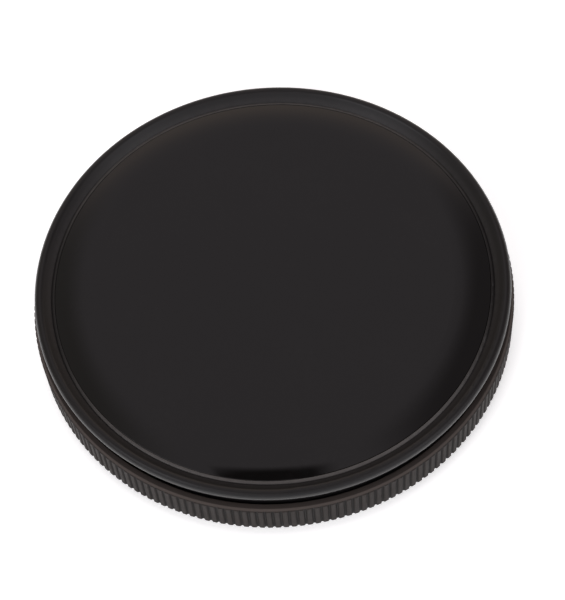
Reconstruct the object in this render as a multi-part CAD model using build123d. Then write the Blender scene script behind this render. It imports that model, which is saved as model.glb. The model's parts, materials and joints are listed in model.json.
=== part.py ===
from build123d import *
import math
import os

# Solar survey prism attachment: a slim, knurled, screw-on ring that carries a
# rotating cell.  The cell holds a crowned dark filter glass at the front and
# four 90 degree wedge prisms behind it.
#
# Frame: the optical axis is Z and +Z points out of the dark glass.  The origin
# is on the axis in the plane of the threaded spigot's free end.
# All lengths are millimetres.

os.makedirs("parts", exist_ok=True)

# ----------------------------------------------------------------- dimensions
# Heights named _Z and _H are measured from a datum 2.4 mm above the origin,
# just above the knurled ring's lower face.
# mount ring
SPIGOT_L = 2.28            # threaded spigot, free end to shoulder
DATUM = 2.40
THREAD_R = 29.00           # M58 x 0.75 male thread, major radius
THREAD_PITCH = 0.75
THREAD_DEPTH = 0.42
THREAD_CREST = 0.14        # width of each crest flat
SPIGOT_BORE_R = 27.10
KNURL_R = 31.30            # over the rib crests
KNURL_RIBS = 196           # 1.0 mm pitch
KNURL_DEPTH = 0.20
KNURL_H = 4.62             # top of the ribbed band, in the edge chamfer
GROOVE_TOP_W = 0.52        # groove width at the rib crests
GROOVE_ROOT_W = 0.16
RING_H = 4.87              # the ring's top land
RING_TOP_CHAMFER = 0.34
RING_EDGE_F = 0.12         # rounding of the chamfer's corners
RING_FOOT_CHAMFER = 0.06
RING_BORE_R = 29.80        # bore that the rotating cell turns in
RELIEF_R = 30.27           # wider bore under the bead, seen as the dark gap
RELIEF_Z = 3.75
SHELF_Z = 0.30             # shelf under the cell

# rotating cell
BARREL_R = 29.74           # 0.06 radial running clearance in the ring
BARREL_BORE_R = 28.56      # bore for the prism stack
BARREL_BOTTOM = 0.46
GLASS_SEAT_R = 28.66       # wider bore for the glass, at the front
INNER_FLANGE_R = 27.40     # flange between the glass and the prism stack
INNER_FLANGE_Z = 4.00
GLASS_BOTTOM_Z = 4.80      # glass seat, top of the inner flange
BARREL_TOP_Z = 6.60
BEAD_F = 0.70              # radius of the bead's rounded outer part
BEAD_R = 30.10             # radius and height of that rounding's centre
BEAD_Z = 7.294
NECK_R = 30.03             # skirt below the bead, recessed behind the gap
NECK_BOTTOM_Z = 5.40
LIP_IN_R = 28.22           # fine rounded lip along the bezel's inner edge
LIP_TOP_Z = 7.10
LIP_IN_F = 0.06            # rounding on its inner corner
LIP_F = 0.50               # rounding on its outer side
LIP_END_DEG = 50.0         # slope where that rounding meets the flank
LIP_FOOT_Z = 6.25          # foot of the inner lip, on the gasket
SKIRT_BORE_R = 29.75       # outer skirt, over the barrel's top thread
LIP_OUT_R = 28.64

# optics
GLASS_R = 28.62
GLASS_LEDGE_Z = 6.10
GLASS_EDGE_R = 28.20       # upright edge of the crowned face
GLASS_EDGE_Z = 7.02        # foot of the face's edge radius
EDGE_FILLET = 0.08
GLASS_ROLL_R = 23.5        # the gentle roll-off starts here
GLASS_ROLL_DEG = 15.0      # slope where the roll-off meets the edge radius
GLASS_ROLL_POWER = 1.2     # how the slope grows along the roll-off
GLASS_SPHERE_R = 2000.0    # very slight overall crown
OPTIC_R = 28.50            # prism stack
SPACER_BOTTOM_Z = 3.75
SPACER_BORE_R = 27.30
WEDGE_BOTTOM_Z = 2.20
WEDGE_R = 27.62
WEDGE_KERF = 0.16          # gap between neighbouring wedges
WEDGE_ANGLE = 0.53         # degrees; turns the beam by a quarter of a degree
WEDGE_MEAN_T = 1.34
COLLAR_BORE_R = 27.70
PLATE_BOTTOM_Z = 1.35
RETAINER_TOP_Z = 1.20
RETAINER_BORE_R = 25.60
SLOT_W = 1.60
SLOT_DEPTH = 0.42

# bearing and drag parts
WIRE_R = 0.25              # snap ring wire, 0.5 mm
WIRE_Z = 3.15
WIRE_CENTRE_R = 29.80
O_RING_R = 0.35
O_RING_Z = 1.85
O_GROOVE_D = 0.40
WASHER_IN_R = 27.40
WASHER_OUT_R = 29.60
WASHER_T = 0.14

Z0 = DATUM


# -------------------------------------------------------------------- helpers
def profile(points):
    """Closed face in the XZ plane from (radius, height, corner radius)."""
    n = len(points)
    corners = []
    for i in range(n):
        r, z, f = points[i]
        p = Vector(r, 0, z)
        a = Vector(points[i - 1][0], 0, points[i - 1][1]) - p
        b = Vector(points[(i + 1) % n][0], 0, points[(i + 1) % n][1]) - p
        if f <= 0:
            corners.append((p, None, p))
            continue
        a, b = a.normalized(), b.normalized()
        half = math.acos(max(-1.0, min(1.0, a.dot(b)))) / 2
        reach = f / math.tan(half)
        middle = p + (a + b).normalized() * (f / math.sin(half) - f)
        corners.append((p + a * reach, middle, p + b * reach))
    edges = []
    for i in range(n):
        start, middle, end = corners[i]
        if middle is not None:
            edges.append(ThreePointArc(start, middle, end))
        following = corners[(i + 1) % n][0]
        if (following - end).length > 1e-6:
            edges.append(Line(end, following))
    return make_face(edges)


def turned(points):
    return revolve(profile(points), Axis.Z, 360)


def rect_ring(r_in, r_out, z_low, z_high, corner=0.0):
    return turned([
        (r_in, z_low, corner), (r_out, z_low, corner),
        (r_out, z_high, corner), (r_in, z_high, corner),
    ])


def solids(shape):
    found = shape.solids()
    return found[0] if len(found) == 1 else Compound(children=list(found))


def save(shape, name):
    shape = solids(shape)
    shape.label = name
    export_step(shape, "parts/" + name + ".step")


# ------------------------------------------------------------------ mount_ring
# spigot with its thread (annular grooves at the thread's pitch), the shoulder,
# the knurled band and the smooth top land with its chamfer
outline = [(SPIGOT_BORE_R, 0.12, 0), (SPIGOT_BORE_R + 0.12, 0.0, 0)]
lead = 0.28
outline.append((THREAD_R - lead, 0.0, 0))
z = lead
outline.append((THREAD_R, z, 0))
z += THREAD_CREST
while z + THREAD_PITCH < SPIGOT_L - 0.08:
    outline.append((THREAD_R, z, 0))
    flank = (THREAD_PITCH - THREAD_CREST) / 2
    outline.append((THREAD_R - THREAD_DEPTH, z + flank - 0.04, 0))
    outline.append((THREAD_R - THREAD_DEPTH, z + flank + 0.04, 0))
    outline.append((THREAD_R, z + 2 * flank, 0))
    z += THREAD_PITCH
THREAD_END = z
outline.append((THREAD_R, z, 0))
outline.append((THREAD_R - THREAD_DEPTH, z + 0.24, 0))
outline.append((THREAD_R - THREAD_DEPTH, SPIGOT_L, 0))
outline += [
    (KNURL_R - RING_FOOT_CHAMFER, SPIGOT_L, 0),
    (KNURL_R, SPIGOT_L + RING_FOOT_CHAMFER, 0),
    (KNURL_R, Z0 + RING_H - RING_TOP_CHAMFER, RING_EDGE_F),
    (KNURL_R - RING_TOP_CHAMFER, Z0 + RING_H, RING_EDGE_F),
    (RELIEF_R + 0.08, Z0 + RING_H, 0),
    (RELIEF_R, Z0 + RING_H - 0.08, 0),
    (RELIEF_R, Z0 + RELIEF_Z, 0),
    (RING_BORE_R, Z0 + RELIEF_Z, 0),
]
# half-round groove for the snap ring, in the bore
gr = WIRE_R + 0.02
outline += [
    (RING_BORE_R, Z0 + WIRE_Z + gr, 0),
    (RING_BORE_R + gr + 0.02, Z0 + WIRE_Z + gr, 0),
    (RING_BORE_R + gr + 0.02, Z0 + WIRE_Z - gr, 0),
    (RING_BORE_R, Z0 + WIRE_Z - gr, 0),
    (RING_BORE_R, Z0 + SHELF_Z, 0),
    (SPIGOT_BORE_R, Z0 + SHELF_Z, 0),
]
ring = turned(outline)

# straight knurl: trapezoid grooves with a sloping run-out at the top
root_r = KNURL_R - KNURL_DEPTH
side = profile([
    (root_r, Z0 - 1.0, 0), (KNURL_R + 0.8, Z0 - 1.0, 0),
    (KNURL_R + 0.8, Z0 + KNURL_H + 0.30, 0), (KNURL_R, Z0 + KNURL_H + 0.10, 0),
    (root_r, Z0 + KNURL_H - 0.14, 0),
])
slab = extrude(side, 1.2, both=True)
widen = (GROOVE_TOP_W - GROOVE_ROOT_W) / 2 / KNURL_DEPTH
reach = 0.8
section = make_face(Polyline(
    (root_r - 0.02, -GROOVE_ROOT_W / 2 + widen * 0.02, 0),
    (KNURL_R + reach, -GROOVE_TOP_W / 2 - widen * reach, 0),
    (KNURL_R + reach, GROOVE_TOP_W / 2 + widen * reach, 0),
    (root_r - 0.02, GROOVE_ROOT_W / 2 - widen * 0.02, 0),
    close=True,
))
groove = Pos(0, 0, Z0 - 0.9) * extrude(section, KNURL_H + 2.0) & slab
groove = groove.solids()[0]
grooves = [Rot(0, 0, 360.0 * i / KNURL_RIBS) * groove for i in range(KNURL_RIBS)]
mount_ring = ring.cut(*grooves)
save(mount_ring, "mount_ring")

# ------------------------------------------------------------- retaining_wire
# split spring-wire ring that lies half in the mount ring's groove and half in
# the barrel's groove, and keeps the cell from lifting out
GAP_DEG = 7.0
wire = revolve(
    Plane.XZ * Pos(WIRE_CENTRE_R, Z0 + WIRE_Z) * Circle(WIRE_R), Axis.Z, 360 - GAP_DEG
)
save(Rot(0, 0, 90 + GAP_DEG / 2) * wire, "retaining_wire")

# --------------------------------------------------------------- glide_washer
save(
    rect_ring(WASHER_IN_R, WASHER_OUT_R, Z0 + SHELF_Z, Z0 + SHELF_Z + WASHER_T),
    "glide_washer",
)

# ---------------------------------------------------------------- cell_barrel
# tube with a seat for the glass at the front, an inner flange, and a bore for
# the prism stack at the back
wire_cut = WIRE_R + 0.05
oc = O_RING_R + 0.05
barrel = turned([
    (BARREL_BORE_R, Z0 + BARREL_BOTTOM, 0),
    (BARREL_R - 0.15, Z0 + BARREL_BOTTOM, 0),
    (BARREL_R, Z0 + BARREL_BOTTOM + 0.15, 0),
    (BARREL_R, Z0 + O_RING_Z - oc, 0),
    (BARREL_R - O_GROOVE_D, Z0 + O_RING_Z - oc, 0),
    (BARREL_R - O_GROOVE_D, Z0 + O_RING_Z + oc, 0),
    (BARREL_R, Z0 + O_RING_Z + oc, 0),
    (BARREL_R, Z0 + WIRE_Z - wire_cut, 0),
    (BARREL_R - 0.28, Z0 + WIRE_Z - wire_cut, 0),
    (BARREL_R - 0.28, Z0 + WIRE_Z + wire_cut, 0),
    (BARREL_R, Z0 + WIRE_Z + wire_cut, 0),
    (BARREL_R, Z0 + BARREL_TOP_Z - 0.10, 0),
    (BARREL_R - 0.10, Z0 + BARREL_TOP_Z, 0),
    (GLASS_SEAT_R + 0.10, Z0 + BARREL_TOP_Z, 0),
    (GLASS_SEAT_R, Z0 + BARREL_TOP_Z - 0.10, 0),
    (GLASS_SEAT_R, Z0 + GLASS_BOTTOM_Z, 0),
    (INNER_FLANGE_R, Z0 + GLASS_BOTTOM_Z, 0),
    (INNER_FLANGE_R, Z0 + INNER_FLANGE_Z, 0),
    (BARREL_BORE_R, Z0 + INNER_FLANGE_Z, 0),
])
save(barrel, "cell_barrel")

# ------------------------------------------------------------- friction_o_ring
# squashed slightly oval between the groove's floor and the ring's bore
oval_in = BARREL_R - O_GROOVE_D
oval_out = RING_BORE_R - 0.02
o_face = Plane.XZ * Pos((oval_in + oval_out) / 2, Z0 + O_RING_Z) * Ellipse(
    (oval_out - oval_in) / 2, O_RING_R
)
save(revolve(o_face, Axis.Z, 360), "friction_o_ring")

# ----------------------------------------------------------------- bezel_ring
# rounded bead over the barrel's front edge: its outer skirt screws down over
# the barrel and its inner lip presses the gasket onto the glass
c45 = math.sqrt(0.5)


def line(*pts):
    return [
        Line((a[0], 0, a[1]), (b[0], 0, b[1])) for a, b in zip(pts, pts[1:])
    ]


def on_circle(r, z, radius, deg):
    """Point on a circle; deg counts from straight up towards the outside."""
    a = math.radians(deg)
    return (r + radius * math.sin(a), Z0 + z + radius * math.cos(a))


lip_foot = Z0 + LIP_FOOT_Z
lip_peak_r = LIP_IN_R + LIP_IN_F
lip_start = on_circle(lip_peak_r, LIP_TOP_Z - LIP_IN_F, LIP_IN_F, -90)
lip_in_mid = on_circle(lip_peak_r, LIP_TOP_Z - LIP_IN_F, LIP_IN_F, -45)
lip_peak = (lip_peak_r, Z0 + LIP_TOP_Z)
lip_mid = on_circle(lip_peak_r, LIP_TOP_Z - LIP_F, LIP_F, LIP_END_DEG / 2)
lip_end = on_circle(lip_peak_r, LIP_TOP_Z - LIP_F, LIP_F, LIP_END_DEG)
# the flank rises from the lip's outer side, tangent to the bead's rounding
away_r, away_z = BEAD_R - lip_end[0], Z0 + BEAD_Z - lip_end[1]
flank_deg = math.degrees(
    math.atan2(away_z, away_r) + math.asin(BEAD_F / math.hypot(away_r, away_z))
)
tangent = on_circle(BEAD_R, BEAD_Z, BEAD_F, -flank_deg)
bead_side = on_circle(BEAD_R, BEAD_Z, BEAD_F, 90)
bead_under = on_circle(BEAD_R, BEAD_Z, BEAD_F, 180)
neck_z = Z0 + NECK_BOTTOM_Z
pocket_z = Z0 + BARREL_TOP_Z + 0.02


def arc(a, b, c):
    return ThreePointArc((a[0], 0, a[1]), (b[0], 0, b[1]), (c[0], 0, c[1]))


bezel_edges = line((lip_start[0], lip_foot + 0.05), lip_start) + [
    arc(lip_start, lip_in_mid, lip_peak),
    arc(lip_peak, lip_mid, lip_end),
] + line(lip_end, tangent) + [
    arc(tangent, bead_side, bead_under),
] + line(
    bead_under, (NECK_R, bead_under[1]), (NECK_R, neck_z + 0.08), (NECK_R - 0.08, neck_z),
    (SKIRT_BORE_R, neck_z), (SKIRT_BORE_R, pocket_z), (LIP_OUT_R, pocket_z),
    (LIP_OUT_R, lip_foot), (lip_start[0] + 0.05, lip_foot), (lip_start[0], lip_foot + 0.05),
)
save(revolve(make_face(bezel_edges), Axis.Z, 360), "bezel_ring")

# --------------------------------------------------------------- front_gasket
save(
    rect_ring(LIP_IN_R + 0.02, GLASS_R, Z0 + GLASS_LEDGE_Z, lip_foot),
    "front_gasket",
)

# ---------------------------------------------------------- dark_filter_glass
# the face is nearly flat in the middle, rolls off gently towards the rim and
# ends in a small edge radius that runs down into the bezel
end_deg = 80.0
ROLL_END_R = GLASS_EDGE_R - EDGE_FILLET * (
    math.sin(math.radians(end_deg)) - math.sin(math.radians(GLASS_ROLL_DEG))
)


def face_slope(r):
    if r <= GLASS_ROLL_R:
        return math.tan(r / GLASS_SPHERE_R)
    t = (r - GLASS_ROLL_R) / (ROLL_END_R - GLASS_ROLL_R)
    start = GLASS_ROLL_R / GLASS_SPHERE_R
    return math.tan(start + (math.radians(GLASS_ROLL_DEG) - start) * t ** GLASS_ROLL_POWER)


STEPS = 2800
heights = [0.0]
for i in range(STEPS):
    r_mid = ROLL_END_R * (i + 0.5) / STEPS
    heights.append(heights[-1] - face_slope(r_mid) * ROLL_END_R / STEPS)
edge_drop = EDGE_FILLET * (
    math.cos(math.radians(GLASS_ROLL_DEG)) - math.cos(math.radians(end_deg))
)
lift = Z0 + GLASS_EDGE_Z + edge_drop - heights[-1]


def face_z(r):
    return heights[min(STEPS, round(r / ROLL_END_R * STEPS))] + lift


def edge_point(deg):
    """Point on the edge radius where the face slopes by deg."""
    a, b = math.radians(deg), math.radians(GLASS_ROLL_DEG)
    return (
        ROLL_END_R + EDGE_FILLET * (math.sin(a) - math.sin(b)),
        0,
        face_z(ROLL_END_R) - EDGE_FILLET * (math.cos(b) - math.cos(a)),
    )


roll_points = [GLASS_ROLL_R + (ROLL_END_R - GLASS_ROLL_R) * k / 8 for k in range(9)]
crown = face_z(0.0)
foot = edge_point(end_deg)
mid_r = GLASS_ROLL_R / 2
glass_edges = [
    Line((0, 0, Z0 + GLASS_BOTTOM_Z), (0, 0, crown)),
    ThreePointArc(
        (0, 0, crown), (mid_r, 0, face_z(mid_r)), (GLASS_ROLL_R, 0, face_z(GLASS_ROLL_R))
    ),
    Spline(
        *[(r, 0, face_z(r)) for r in roll_points],
        tangents=[
            Vector(1, 0, -face_slope(GLASS_ROLL_R)),
            Vector(1, 0, -face_slope(ROLL_END_R)),
        ],
    ),
    ThreePointArc(
        (ROLL_END_R, 0, face_z(ROLL_END_R)), edge_point((GLASS_ROLL_DEG + end_deg) / 2), foot
    ),
] + line(
    (foot[0], foot[2]), (foot[0], Z0 + GLASS_LEDGE_Z), (GLASS_R - 0.08, Z0 + GLASS_LEDGE_Z),
    (GLASS_R, Z0 + GLASS_LEDGE_Z - 0.08), (GLASS_R, Z0 + GLASS_BOTTOM_Z + 0.12),
    (GLASS_R - 0.12, Z0 + GLASS_BOTTOM_Z), (0, Z0 + GLASS_BOTTOM_Z),
)
save(revolve(make_face(glass_edges), Axis.Z, 360), "dark_filter_glass")

# ---------------------------------------------------------------- spacer_ring
save(
    rect_ring(SPACER_BORE_R, OPTIC_R, Z0 + SPACER_BOTTOM_Z, Z0 + INNER_FLANGE_Z),
    "spacer_ring",
)

# ------------------------------------------------------------- wedge_prism_1-4
# 90 degree sectors with a flat back and a front face that slopes down towards
# the rim along each sector's middle line
h = WEDGE_KERF / 2
full = Cylinder(WEDGE_R, 4, align=(Align.CENTER, Align.CENTER, Align.MIN))
quarter = full & Pos(h, h, 0) * Box(40, 40, 4, align=(Align.MIN, Align.MIN, Align.MIN))
slope_dir = Vector(c45, c45, 0)
tilt = math.radians(WEDGE_ANGLE)
centre_r = WEDGE_R * 0.55
for k in range(4):
    top = Plane(
        origin=(centre_r * c45, centre_r * c45, WEDGE_MEAN_T),
        x_dir=(-c45, c45, 0),
        z_dir=(math.sin(tilt) * c45, math.sin(tilt) * c45, math.cos(tilt)),
    )
    cutter = top * Box(120, 120, 6, align=(Align.CENTER, Align.CENTER, Align.MIN))
    wedge = quarter - cutter
    wedge = Pos(0, 0, Z0 + WEDGE_BOTTOM_Z) * (Rot(0, 0, 90 * k) * wedge)
    save(wedge, "wedge_prism_%d" % (k + 1))

# --------------------------------------------------------------- wedge_collar
save(
    rect_ring(COLLAR_BORE_R, OPTIC_R, Z0 + WEDGE_BOTTOM_Z, Z0 + SPACER_BOTTOM_Z),
    "wedge_collar",
)

# --------------------------------------------------------------- carrier_plate
plate = turned([
    (0, Z0 + PLATE_BOTTOM_Z, 0), (OPTIC_R - 0.10, Z0 + PLATE_BOTTOM_Z, 0),
    (OPTIC_R, Z0 + PLATE_BOTTOM_Z + 0.10, 0), (OPTIC_R, Z0 + WEDGE_BOTTOM_Z - 0.10, 0),
    (OPTIC_R - 0.10, Z0 + WEDGE_BOTTOM_Z, 0), (0, Z0 + WEDGE_BOTTOM_Z, 0),
])
save(plate, "carrier_plate")

# ---------------------------------------------------------------- rear_gasket
save(
    rect_ring(27.60, OPTIC_R, Z0 + RETAINER_TOP_Z, Z0 + PLATE_BOTTOM_Z),
    "rear_gasket",
)

# --------------------------------------------------------- rear_retaining_ring
retainer = rect_ring(
    RETAINER_BORE_R, OPTIC_R, Z0 + BARREL_BOTTOM + 0.04, Z0 + RETAINER_TOP_Z
)
slot = Pos(0, 0, Z0 + BARREL_BOTTOM + 0.04) * Box(
    80, SLOT_W, SLOT_DEPTH, align=(Align.CENTER, Align.CENTER, Align.MIN)
)
save(retainer - slot, "rear_retaining_ring")

# thinnest metal between the valley beside the lip and the pocket below it
valley_wall = lip_end[1] + (LIP_OUT_R - lip_end[0]) * math.tan(math.radians(flank_deg)) - pocket_z
print("wall over the pocket %.3f" % valley_wall)
print("thread end %.3f  crown %.3f  face edge %.3f  bead crest %.3f  flank %.1f deg" % (
    THREAD_END, crown, foot[2], Z0 + BEAD_Z + BEAD_F, flank_deg))
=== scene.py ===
import json
import math

import bpy
from mathutils import Matrix, Vector


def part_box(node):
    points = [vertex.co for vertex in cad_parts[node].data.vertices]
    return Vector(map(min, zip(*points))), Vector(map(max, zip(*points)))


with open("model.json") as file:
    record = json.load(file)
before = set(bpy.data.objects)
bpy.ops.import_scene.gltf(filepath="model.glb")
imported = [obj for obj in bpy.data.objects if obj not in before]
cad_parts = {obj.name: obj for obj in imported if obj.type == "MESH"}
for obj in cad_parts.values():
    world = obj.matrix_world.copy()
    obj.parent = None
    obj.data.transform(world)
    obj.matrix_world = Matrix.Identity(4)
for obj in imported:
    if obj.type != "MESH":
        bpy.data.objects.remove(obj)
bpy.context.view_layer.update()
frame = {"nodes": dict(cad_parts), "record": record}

MM = 0.001
NODES = frame["nodes"]
ring_lo, ring_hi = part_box("mount_ring")
bezel_lo, bezel_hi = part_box("bezel_ring")
glass_lo, glass_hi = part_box("dark_filter_glass")
RING_R = ring_hi.x                    # over the rib crests
RING_MM = RING_R / MM
LIP_MM = 28.22                        # inner edge of the bezel's fine lip
SEAT_Z = 2.40 * MM                    # height the camera is set up from
scene = bpy.context.scene
scene.view_settings.view_transform = "Standard"
scene.view_settings.look = "None"
scene.view_settings.exposure = 0.0
scene.view_settings.gamma = 1.0


# ------------------------------------------------------------------- camera
def make_camera():
    """Looks down on the glass from about 60 degrees, from eight ring radii away."""
    elev, dist = math.radians(59.95), 8.0 * 31.2 * MM
    back = Vector((0, -math.cos(elev), math.sin(elev)))
    rows = Matrix((
        (1, 0, 0),
        (0, math.sin(elev), math.cos(elev)),
        (0, math.cos(elev), -math.sin(elev)),
    ))
    tilt, pan, roll = (math.radians(a) for a in (0.25, -0.26, 6.25))
    turn = (Matrix.Rotation(roll, 3, "Z") @ Matrix.Rotation(pan, 3, "Y")
            @ Matrix.Rotation(tilt, 3, "X"))
    r = turn @ rows
    right, up, fwd = r[0], r[1], r[2]
    data = bpy.data.cameras.new("camera")
    data.sensor_fit = "AUTO"
    data.sensor_width = 36.0
    data.lens = 1883.0 / 600.0 * 36.0
    data.clip_start, data.clip_end = 0.005, 20.0
    cam = bpy.data.objects.new("camera", data)
    scene.collection.objects.link(cam)
    rot = Matrix((right, up, -fwd)).transposed().to_4x4()
    cam.matrix_world = Matrix.Translation(back * dist + Vector((0, 0, SEAT_Z))) @ rot
    scene.camera = cam
    return cam


camera = make_camera()


# -------------------------------------------------------------- node helpers
class Tree:
    """A short way to write shader nodes."""

    def __init__(self, tree):
        self.t = tree
        tree.nodes.clear()

    def add(self, kind, **props):
        n = self.t.nodes.new(kind)
        for k, v in props.items():
            setattr(n, k, v)
        return n

    def put(self, socket, value):
        if isinstance(value, bpy.types.NodeSocket):
            self.t.links.new(value, socket)
        elif value is not None:
            socket.default_value = value

    def math(self, op, a, b=None, c=None, clamp=False):
        n = self.add("ShaderNodeMath", operation=op, use_clamp=clamp)
        for i, v in enumerate((a, b, c)):
            if v is not None:
                self.put(n.inputs[i], v)
        return n.outputs[0]

    def vmath(self, op, a, b=None, out=0):
        n = self.add("ShaderNodeVectorMath", operation=op)
        self.put(n.inputs[0], a)
        if b is not None:
            self.put(n.inputs[1], b)
        return n.outputs[out]

    def scale(self, a, k):
        n = self.add("ShaderNodeVectorMath", operation="SCALE")
        self.put(n.inputs[0], a)
        self.put(n.inputs["Scale"], k)
        return n.outputs[0]

    def remap(self, v, a, b, c=0.0, d=1.0, smooth=True):
        n = self.add("ShaderNodeMapRange", clamp=True)
        n.interpolation_type = "SMOOTHSTEP" if smooth else "LINEAR"
        self.put(n.inputs[0], v)
        for i, x in enumerate((a, b, c, d)):
            self.put(n.inputs[i + 1], x)
        return n.outputs[0]

    def mix(self, f, a, b):
        n = self.add("ShaderNodeMix", data_type="RGBA")
        self.put(n.inputs[0], f)
        self.put(n.inputs[6], a)
        self.put(n.inputs[7], b)
        return n.outputs[2]

    def noise(self, vec, scale, detail=2.0, rough=0.5, dist=0.0):
        n = self.add("ShaderNodeTexNoise")
        self.put(n.inputs["Vector"], vec)
        n.inputs["Scale"].default_value = scale
        n.inputs["Detail"].default_value = detail
        n.inputs["Roughness"].default_value = rough
        n.inputs["Distortion"].default_value = dist
        return n.outputs[0]

    def xyz(self, vec):
        n = self.add("ShaderNodeSeparateXYZ")
        self.put(n.inputs[0], vec)
        return n.outputs

    def join(self, x, y, z):
        n = self.add("ShaderNodeCombineXYZ")
        for i, v in enumerate((x, y, z)):
            self.put(n.inputs[i], v)
        return n.outputs[0]


def rgb(r, g, b):
    """sRGB 0-255 to linear."""
    out = []
    for c in (r, g, b):
        c /= 255.0
        out.append(c / 12.92 if c <= 0.04045 else ((c + 0.055) / 1.055) ** 2.4)
    return (*out, 1.0)


def material(name):
    m = bpy.data.materials.new(name)
    m.use_nodes = True
    t = Tree(m.node_tree)
    out = t.add("ShaderNodeOutputMaterial")
    s = t.add("ShaderNodeBsdfPrincipled")
    t.put(out.inputs["Surface"], s.outputs[0])
    coord = t.add("ShaderNodeTexCoord")
    mm = t.scale(coord.outputs["Object"], 1000.0)     # object space in mm
    return m, t, s, mm


def polar(t, mm):
    """radius, angle (turns) and height in mm, for turned parts."""
    x, y, z = t.xyz(mm)
    r = t.math("SQRT", t.math("ADD", t.math("MULTIPLY", x, x), t.math("MULTIPLY", y, y)))
    a = t.math("DIVIDE", t.math("ARCTAN2", y, x), 2 * math.pi)
    return r, a, z


def bump(t, s, height, distance, strength=1.0, under=None):
    n = t.add("ShaderNodeBump")
    n.inputs["Strength"].default_value = strength
    n.inputs["Distance"].default_value = distance
    t.put(n.inputs["Height"], height)
    if under is not None:
        t.put(n.inputs["Normal"], under)
    if s is not None:
        t.put(s.inputs["Normal"], n.outputs[0])
    return n.outputs[0]


# ----------------------------------------------------------------- materials
def anodised_ring():
    """Satin black anodised aluminium: fine grain, turning lines, painted shade in the knurl's
    grooves, rib crests paler from rubbing and painted highlight, and a painted highlight on the edge
    chamfer.
    """
    m, t, s, mm = material("anodised_ring")
    r, a, z = polar(t, mm)
    grain = t.noise(mm, 16.0, 3.0, 0.6)
    cloud = t.noise(mm, 0.35, 3.0, 0.55)
    lines = t.noise(t.join(t.math("MULTIPLY", r, 9.0), t.math("MULTIPLY", z, 9.0), 0.0), 1.0, 2.0)
    # the knurled band darker than the land, painted shade in the knurl's grooves, rib crests paler
    # from rubbing and painted highlight, and a painted highlight on the edge chamfer
    band = t.math("MULTIPLY", t.remap(r, RING_MM - 0.60, RING_MM - 0.42),
                  t.remap(z, 7.10, 6.98))
    crest = t.remap(r, RING_MM - 0.17, RING_MM - 0.03)
    # painted shade: darkens the knurl's grooves between the rib crests
    groove_shade = t.math("MULTIPLY", band, t.math("SUBTRACT", 1.0, crest))
    # painted highlight along the top edge chamfer
    chamfer_highlight = t.math("MULTIPLY", t.remap(z, 6.98, 7.08), t.remap(r, RING_MM - 0.42, RING_MM - 0.32))
    patchy = t.remap(t.noise(mm, 1.3, 3.0, 0.6), 0.30, 0.75)
    # rib crests paler: partly rubbing, partly painted highlight
    crest_rub_and_highlight = t.math("MULTIPLY", crest, patchy)
    tone = t.mix(cloud, rgb(52, 47, 45), rgb(60, 54, 51))
    tone = t.mix(t.math("MULTIPLY", band, 0.50), tone, rgb(20, 18, 17))
    tone = t.mix(t.math("MULTIPLY", groove_shade, 0.60), tone, rgb(18, 17, 17))
    tone = t.mix(t.math("MULTIPLY", crest_rub_and_highlight, 0.12), tone, rgb(70, 64, 61))
    tone = t.mix(t.math("MULTIPLY", chamfer_highlight, 0.40), tone, rgb(86, 78, 74))
    t.put(s.inputs["Base Color"], tone)
    s.inputs["IOR"].default_value = 1.45
    s.inputs["Specular IOR Level"].default_value = 0.12
    rough = t.math("ADD", t.remap(grain, 0.3, 0.7, 0.42, 0.56), t.remap(cloud, 0.3, 0.7, -0.03, 0.04))
    rough = t.math("ADD", rough, t.math("MULTIPLY", t.math("MAXIMUM", band, chamfer_highlight), 0.09))
    t.put(s.inputs["Roughness"], rough)
    h = t.math("ADD", t.math("MULTIPLY", grain, 0.7), t.math("MULTIPLY", lines, 0.3))
    bump(t, s, h, 0.000012, 0.55)
    return m


def bezel_black():
    """Semi-gloss black over a turned ring, with a painted highlight along the fine inner lip."""
    m, t, s, mm = material("bezel_black")
    r, a, z = polar(t, mm)
    cloud = t.noise(mm, 0.28, 3.0, 0.55)
    peel = t.noise(mm, 5.5, 2.0, 0.5)
    fine = t.noise(mm, 22.0, 2.0, 0.6)
    tone = t.mix(cloud, rgb(13, 12, 12), rgb(18, 16, 16))
    # painted highlight on the lip: a narrow band of radius round the inner edge
    lip = t.math("MULTIPLY", t.remap(r, LIP_MM - 0.02, LIP_MM + 0.06),
                 t.remap(r, LIP_MM + 0.44, LIP_MM + 0.33))
    lip_highlight = t.math("MULTIPLY", lip, t.remap(t.noise(mm, 0.9, 3.0, 0.6), 0.2, 0.8, 0.75, 1.0))
    # painted highlight on the lip, stronger at two opposite places, towards +Y and -Y; its numbers
    # were tuned; paler at two opposite places: tuned by eye, and only guessed to be wear
    x, y, _ = t.xyz(mm)
    highlight_toward_y = t.remap(t.math("ABSOLUTE", t.math("DIVIDE", y, r)), 0.15, 0.90, 0.05, 1.0)
    tone = t.mix(t.math("MULTIPLY", t.math("MULTIPLY", lip_highlight, highlight_toward_y), 0.68), tone, rgb(87, 83, 81))
    # a paler tone in the valley beside the lip
    valley_pale = t.math("MULTIPLY", t.remap(r, LIP_MM + 0.40, LIP_MM + 0.52),
                  t.remap(r, LIP_MM + 1.25, LIP_MM + 0.65))
    valley_pale = t.math("MULTIPLY", valley_pale, t.remap(t.noise(mm, 1.6, 3.0, 0.6), 0.25, 0.75, 0.35, 0.75))
    tone = t.mix(valley_pale, tone, rgb(37, 35, 35))
    t.put(s.inputs["Base Color"], tone)
    s.inputs["IOR"].default_value = 1.5
    rough = t.math("ADD", t.remap(fine, 0.3, 0.7, 0.29, 0.37), t.remap(cloud, 0.3, 0.7, -0.02, 0.03))
    t.put(s.inputs["Roughness"], rough)
    h = t.math("ADD", t.math("MULTIPLY", peel, 0.6), t.math("MULTIPLY", fine, 0.25))
    bump(t, s, h, 0.000005, 0.4)
    return m


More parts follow.
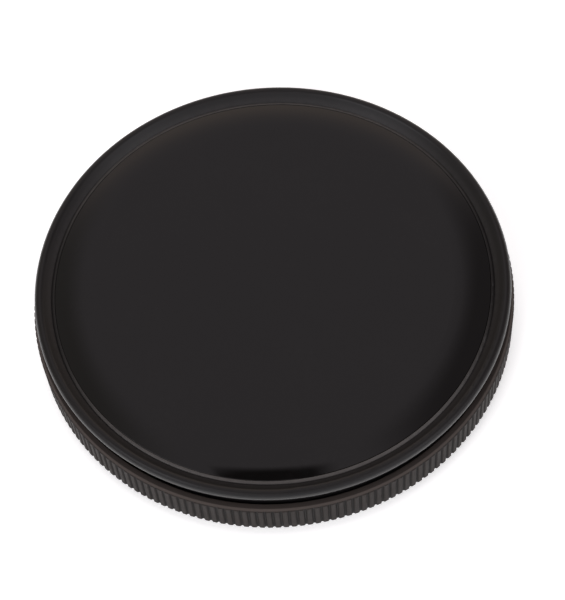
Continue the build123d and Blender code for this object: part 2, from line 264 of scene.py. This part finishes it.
def inner_anodise():
    m, t, s, mm = material("inner_anodise")
    r, a, z = polar(t, mm)
    turn = t.noise(t.join(t.math("MULTIPLY", r, 14.0), t.math("MULTIPLY", z, 14.0), 0.0), 1.0, 2.0)
    grain = t.noise(mm, 18.0, 2.0)
    t.put(s.inputs["Base Color"], t.mix(grain, rgb(26, 25, 26), rgb(38, 36, 37)))
    s.inputs["IOR"].default_value = 1.55
    t.put(s.inputs["Roughness"], t.remap(turn, 0.3, 0.7, 0.42, 0.58))
    bump(t, s, t.math("ADD", turn, t.math("MULTIPLY", grain, 0.5)), 0.000010, 0.5)
    return m


def dark_glass():
    """Polished black filter glass with barely visible handling haze."""
    m, t, s, mm = material("dark_glass")
    smear = t.noise(mm, 0.10, 4.0, 0.6, 0.6)
    fine = t.noise(mm, 1.4, 4.0, 0.65)
    haze = t.math("MULTIPLY", t.remap(smear, 0.45, 0.75), t.remap(fine, 0.35, 0.75))
    t.put(s.inputs["Base Color"], t.mix(haze, rgb(7, 6, 6), rgb(12, 11, 11)))
    s.inputs["IOR"].default_value = 1.50
    t.put(s.inputs["Roughness"], t.remap(haze, 0.0, 1.0, 0.035, 0.075, smooth=False))
    bump(t, s, t.noise(mm, 0.045, 2.0), 0.00002, 0.10)
    return m


def clear_glass():
    m, t, s, mm = material("clear_glass")
    n = t.noise(mm, 0.5, 3.0)
    t.put(s.inputs["Base Color"], t.mix(n, (0.93, 0.965, 0.945, 1), (0.95, 0.975, 0.96, 1)))
    s.inputs["Transmission Weight"].default_value = 1.0
    s.inputs["IOR"].default_value = 1.52
    t.put(s.inputs["Roughness"], t.remap(n, 0.3, 0.7, 0.004, 0.012))
    return m


def black_rubber():
    m, t, s, mm = material("black_rubber")
    n = t.noise(mm, 8.0, 3.0, 0.6)
    t.put(s.inputs["Base Color"], t.mix(n, rgb(19, 19, 19), rgb(31, 30, 30)))
    t.put(s.inputs["Roughness"], t.remap(n, 0.3, 0.7, 0.62, 0.80))
    bump(t, s, n, 0.00002, 0.4)
    return m


def collar_plastic():
    m, t, s, mm = material("collar_plastic")
    r, a, z = polar(t, mm)
    n = t.noise(t.join(t.math("MULTIPLY", r, 10.0), t.math("MULTIPLY", z, 10.0), 0.0), 1.0, 2.0)
    t.put(s.inputs["Base Color"], t.mix(n, rgb(30, 30, 31), rgb(40, 40, 41)))
    t.put(s.inputs["Roughness"], t.remap(n, 0.3, 0.7, 0.38, 0.52))
    bump(t, s, n, 0.00001, 0.4)
    return m


def ptfe():
    m, t, s, mm = material("ptfe")
    n = t.noise(mm, 3.0, 3.0)
    t.put(s.inputs["Base Color"], t.mix(n, rgb(226, 224, 218), rgb(238, 236, 231)))
    t.put(s.inputs["Roughness"], t.remap(n, 0.3, 0.7, 0.35, 0.48))
    s.inputs["Subsurface Weight"].default_value = 0.15
    s.inputs["Subsurface Radius"].default_value = (0.001, 0.001, 0.001)
    return m


def spring_steel():
    m, t, s, mm = material("spring_steel")
    n = t.noise(mm, 12.0, 3.0)
    t.put(s.inputs["Base Color"], t.mix(n, rgb(168, 168, 166), rgb(196, 196, 193)))
    s.inputs["Metallic"].default_value = 1.0
    t.put(s.inputs["Roughness"], t.remap(n, 0.3, 0.7, 0.22, 0.34))
    return m


MATERIALS = {f.__name__: f() for f in (
    anodised_ring, bezel_black, inner_anodise, dark_glass, clear_glass,
    black_rubber, collar_plastic, ptfe, spring_steel)}
for part in frame["record"]["subparts"]:
    o = NODES[part["node"]]
    o.data.materials.clear()
    o.data.materials.append(MATERIALS[part["material_slot"]])


# --------------------------------------------------------------------- stage
def make_floor():
    me = bpy.data.meshes.new("floor")
    h = 3.0
    me.from_pydata([(-h, -h, 0), (h, -h, 0), (h, h, 0), (-h, h, 0)], [], [(0, 1, 2, 3)])
    o = bpy.data.objects.new("floor", me)
    scene.collection.objects.link(o)
    o.location.z = -0.00002
    m = bpy.data.materials.new("floor")
    m.use_nodes = True
    t = Tree(m.node_tree)
    out = t.add("ShaderNodeOutputMaterial")
    s = t.add("ShaderNodeBsdfPrincipled")
    t.put(out.inputs["Surface"], s.outputs[0])
    s.inputs["Base Color"].default_value = (0.93, 0.93, 0.93, 1)
    s.inputs["Roughness"].default_value = 0.9
    s.inputs["Specular IOR Level"].default_value = 0.2
    s.inputs["Emission Color"].default_value = (1, 1, 1, 1)
    s.inputs["Emission Strength"].default_value = 0.42
    me.materials.append(m)


def make_world():
    """A light tent: grey overhead, a paler warm backdrop, darker side openings,
    pale low front panels and a dark place where the camera stands."""
    w = bpy.data.worlds.new("studio")
    scene.world = w
    w.use_nodes = True
    t = Tree(w.node_tree)
    out = t.add("ShaderNodeOutputWorld")
    bg = t.add("ShaderNodeBackground")
    t.put(out.inputs["Surface"], bg.outputs[0])
    d = t.add("ShaderNodeTexCoord").outputs["Generated"]
    x, y, z = t.xyz(d)
    col = (0.505, 0.465, 0.485, 1)                    # overhead

    def patch(az, el, inner, outer):
        a, e = math.radians(az), math.radians(el)
        v = (math.sin(a) * math.cos(e), math.cos(a) * math.cos(e), math.sin(e))
        dot = t.vmath("DOT_PRODUCT", d, v, out=1)
        return t.remap(dot, math.cos(math.radians(outer)), math.cos(math.radians(inner)))

    low = t.remap(z, 0.80, 0.36)
    # warm paler backdrop on the far side, whiter low down
    col = t.mix(t.math("MULTIPLY", t.remap(y, 0.05, 0.75), low), col, (0.74, 0.62, 0.55, 1))
    # darker again near the horizon
    dusk = t.math("MULTIPLY", t.remap(y, 0.05, 0.60), t.remap(z, 0.34, 0.14))
    col = t.mix(dusk, col, (0.26, 0.22, 0.20, 1))
    # side openings
    col = t.mix(patch(-66, 38, 20, 38), col, (0.29, 0.27, 0.255, 1))
    col = t.mix(patch(68, 47, 18, 34), col, (0.20, 0.18, 0.185, 1))
    # pale panels low down at the front, and one higher up at the front left
    front = t.math("MULTIPLY", t.remap(y, -0.30, -0.62), t.remap(z, 0.70, 0.45))
    col = t.mix(front, col, (0.66, 0.67, 0.71, 1))
    col = t.mix(patch(-116, 50, 9, 19), col, (1.35, 1.32, 1.38, 1))
    col = t.mix(patch(120, 46, 8, 18), col, (1.05, 1.02, 1.06, 1))
    # where the camera and its stand are
    stand = t.math("MULTIPLY", patch(-150, 84, 7, 13),
                   t.math("MULTIPLY", t.remap(x, -0.205, -0.178), t.remap(x, 0.13, 0.04)))
    col = t.mix(stand, col, (0.05, 0.045, 0.045, 1))
    t.put(bg.inputs["Color"], col)
    bg.inputs["Strength"].default_value = 1.0


def area(name, az, el, dist, size, power, color=(1, 1, 1), size_y=None):
    a, e = math.radians(az), math.radians(el)
    v = Vector((math.sin(a) * math.cos(e), math.cos(a) * math.cos(e), math.sin(e)))
    data = bpy.data.lights.new(name, "AREA")
    data.shape = "RECTANGLE" if size_y else "SQUARE"
    data.size = size
    if size_y:
        data.size_y = size_y
    data.energy = power
    data.color = color
    o = bpy.data.objects.new(name, data)
    scene.collection.objects.link(o)
    o.location = v * dist
    o.rotation_mode = "QUATERNION"
    o.rotation_quaternion = v.to_track_quat("Z", "Y")
    return o


make_floor()
make_world()
for name, az, el, dist, size, power in (
        ("softbox_left", -142, 38, 0.9, 0.42, 2.3),
        ("softbox_right", 142, 38, 0.9, 0.42, 0.7),
        ("top_fill", 0, 88, 1.1, 0.5, 3.0)):
    # soft fill for the matt surfaces; the world alone is seen in the gloss
    area(name, az, el, dist, size, power).visible_glossy = False
